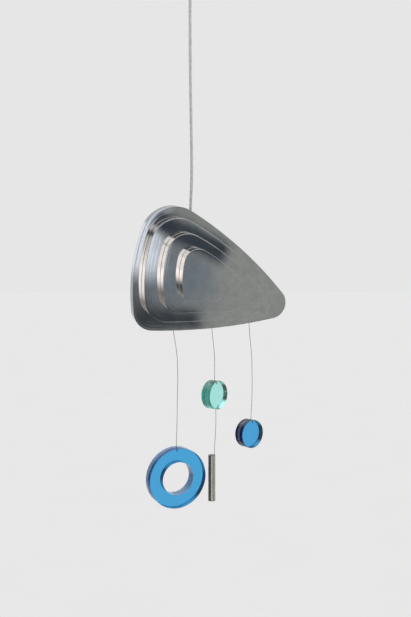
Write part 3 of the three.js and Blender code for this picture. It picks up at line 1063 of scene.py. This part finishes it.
# %% World
BACKDROP = 0.791
FRONT_LEFT = (0.07, 0.07, 0.072)
FRONT_RIGHT = (0.31, 0.317, 0.302)
RIGHT_SIDE = 0.5
BACK = 0.5
OVERHEAD = 1.35
# Degrees of azimuth or elevation between which one tone goes over into the next.
FRONT_TURN = (-10, 24)
SIDE_TURN = (35, 60)
BACK_TURN = (145, 158)
OVERHEAD_TURN = (25, 50)
BACKDROP_TOP = (15, 9)
BACKDROP_EDGE = (0.86, 0.93)  # cosines of the angle from the camera's heading
PANELS = {
    # name: azimuth, elevation, half width, half height, turn, softness, colour
    "left floor": (-65, -26, 35, 8, 0, 3, (0.33, 0.32, 0.31)),
    "dim front": (-5, 0, 20, 60, 0, 10, (0.11, 0.11, 0.11)),
    "low warm softbox": (-12, -18, 12, 4, -30, 3, (1.75, 1.56, 1.43)),
    "tall warm softbox": (-24, -4, 8, 11, 0, 2, (1.42, 1.28, 1.18)),
    "high warm softbox": (-15, 7, 12, 6, 40, 2, (1.25, 1.14, 1.06)),
    "brown floor": (0, -28, 12, 5, 0, 4, (0.45, 0.40, 0.36)),
    "grey card": (17, -18, 3, 2, 0, 3, (0.19, 0.22, 0.25)),
    "cool softbox": (10, -14, 6, 4, 0, 2, (0.95, 1.0, 1.08)),
    "dim card": (9, -22, 6, 3, 0, 2, (0.12, 0.13, 0.13)),
    "upper dark flag": (18, -15, 3, 0.8, -20, 1, (0.045, 0.058, 0.072)),
    "lower dark flag": (17, -21, 2.5, 0.8, 0, 1.5, (0.05, 0.058, 0.068)),
    "back softbox": (-170, 10, 10, 8, 0, 4, (0.90, 0.93, 0.98)),
}


def studio_world():
    world = bpy.data.worlds.new("studio")
    world.use_nodes = True
    tree = world.node_tree
    tree.nodes.clear()
    direction = tree.nodes.new("ShaderNodeTexCoord").outputs["Generated"]
    parts = add_node(tree, "ShaderNodeSeparateXYZ", Vector=direction)
    degree = math.degrees(1)
    toward_front = calc(tree, "MULTIPLY", parts.outputs["Y"], -1.0)
    azimuth = calc(tree, "MULTIPLY", calc(tree, "ARCTAN2", parts.outputs["X"], toward_front), degree)
    elevation = calc(tree, "MULTIPLY", calc(tree, "ARCSINE", parts.outputs["Z"]), degree)

    white = (BACKDROP, BACKDROP, BACKDROP, 1)
    paint = blend_colours(tree, ramp(tree, azimuth, *FRONT_TURN), (*FRONT_LEFT, 1), (*FRONT_RIGHT, 1))
    aside = ramp(tree, azimuth, *SIDE_TURN)
    paint = blend_colours(tree, aside, paint, (RIGHT_SIDE, RIGHT_SIDE, RIGHT_SIDE, 1))
    aback = ramp(tree, calc(tree, "ABSOLUTE", azimuth), *BACK_TURN)
    paint = blend_colours(tree, aback, paint, (BACK, BACK, BACK, 1))
    for centre_a, centre_e, half_w, half_h, turn, softness, colour in PANELS.values():
        paint = add_node(
            tree, "ShaderNodeGroup", {"node_tree": PANEL_GROUP}, Azimuth=azimuth, Elevation=elevation,
            Behind=paint, Centre_Azimuth=centre_a, Centre_Elevation=centre_e, Half_Width=half_w,
            Half_Height=half_h, Turn=turn, Softness=softness, Panel=(*colour, 1),
        ).outputs[0]
    heading = math.radians(CAMERA_HEADING)
    behind = add_node(
        tree, "ShaderNodeVectorMath", {"operation": "DOT_PRODUCT"}, in0=direction,
        in1=(math.sin(heading), math.cos(heading), 0),
    ).outputs["Value"]
    low_enough = ramp(tree, elevation, *BACKDROP_TOP)
    backdrop = calc(tree, "MULTIPLY", ramp(tree, behind, *BACKDROP_EDGE), low_enough)
    paint = blend_colours(tree, backdrop, paint, white)
    overhead = ramp(tree, elevation, *OVERHEAD_TURN)
    paint = blend_colours(tree, overhead, paint, (OVERHEAD, OVERHEAD, OVERHEAD, 1))
    seen = tree.nodes.new("ShaderNodeLightPath").outputs["Is Camera Ray"]
    colour = blend_colours(tree, seen, paint, white)
    light = add_node(tree, "ShaderNodeBackground", Color=colour, Strength=1.0)
    output = tree.nodes.new("ShaderNodeOutputWorld")
    tree.links.new(light.outputs[0], output.inputs["Surface"])
    return world


scene.world = studio_world()
scene.view_settings.view_transform = "Standard"
print("studio with", len(PANELS), "panels")

# %% [markdown]
# The floor is a wide pale disc well below the mobile. The mirrors are kept from seeing it, so that
# they show the studio's panels instead.

# %% Floor
FLOOR_HEIGHT = -1.6
FLOOR_RADIUS = 40


def make_floor():
    build = bmesh.new()
    bmesh.ops.create_circle(build, cap_ends=True, segments=96, radius=FLOOR_RADIUS)
    bmesh.ops.translate(build, verts=build.verts, vec=(0, 0, FLOOR_HEIGHT))
    mesh = bpy.data.meshes.new("studio_floor")
    build.to_mesh(mesh)
    build.free()
    material = new_material("pale_floor")
    tree = material.node_tree
    mottle = noise(tree, object_coordinates(tree), 3, 3)
    colour = blend_colours(tree, mottle, (0.825, 0.825, 0.825, 1), (0.847, 0.847, 0.847, 1))
    shader = add_node(
        tree, "ShaderNodeBsdfPrincipled", Base_Color=colour, Roughness=0.9, Specular_IOR_Level=0.0,
    )
    finish_surface(tree, shader)
    mesh.materials.append(material)
    floor = link_mesh("studio_floor", mesh)
    floor.visible_glossy = False
    floor.visible_transmission = False
    return floor


studio_floor = make_floor()
print("floor at", FLOOR_HEIGHT, "m")

# %% [markdown]
# ## Ride and replace
#
# Nothing here has a joint, so every piece rides on the one body, root. Each piece stands for the
# solid of its own shape, which is hidden.

# %% Ride and replace
STANDS_FOR = [
    (plate_pieces["back_plate"], "back_plate", "polished_plate"),
    (plate_pieces["second_plate"], "second_plate", "polished_plate"),
    (plate_pieces["third_plate"], "third_plate", "polished_plate"),
    (plate_pieces["front_plate"], "front_plate", "polished_plate"),
    (suspension_cable, "suspension_cable", "wire_rope"),
    (eye_sleeve, "loop_sleeve", "pressed_sleeve"),
    (ring_wire, "ring_wire", "thin_wire"),
    (green_wire, "green_disc_wire", "thin_wire"),
    (rod_wire, "rod_wire", "thin_wire"),
    (blue_wire, "blue_disc_wire", "thin_wire"),
    (clear_ring, "blue_ring", "blue_acrylic"),
    (clear_green, "green_disc", "green_acrylic"),
    (clear_blue, "blue_disc", "blue_acrylic"),
    (hanging_rod, "metal_rod", "turned_rod"),
]
for piece, node, material_slot in STANDS_FOR:
    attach(piece, "root")
    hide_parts(node)
print(len(STANDS_FOR), "pieces ride on root")

# %% [markdown]
# The rope and the four wires are the mobile's five cords; this cell only prints how many there are.

# %% Cords
print("5 cords: the rope and four wires")
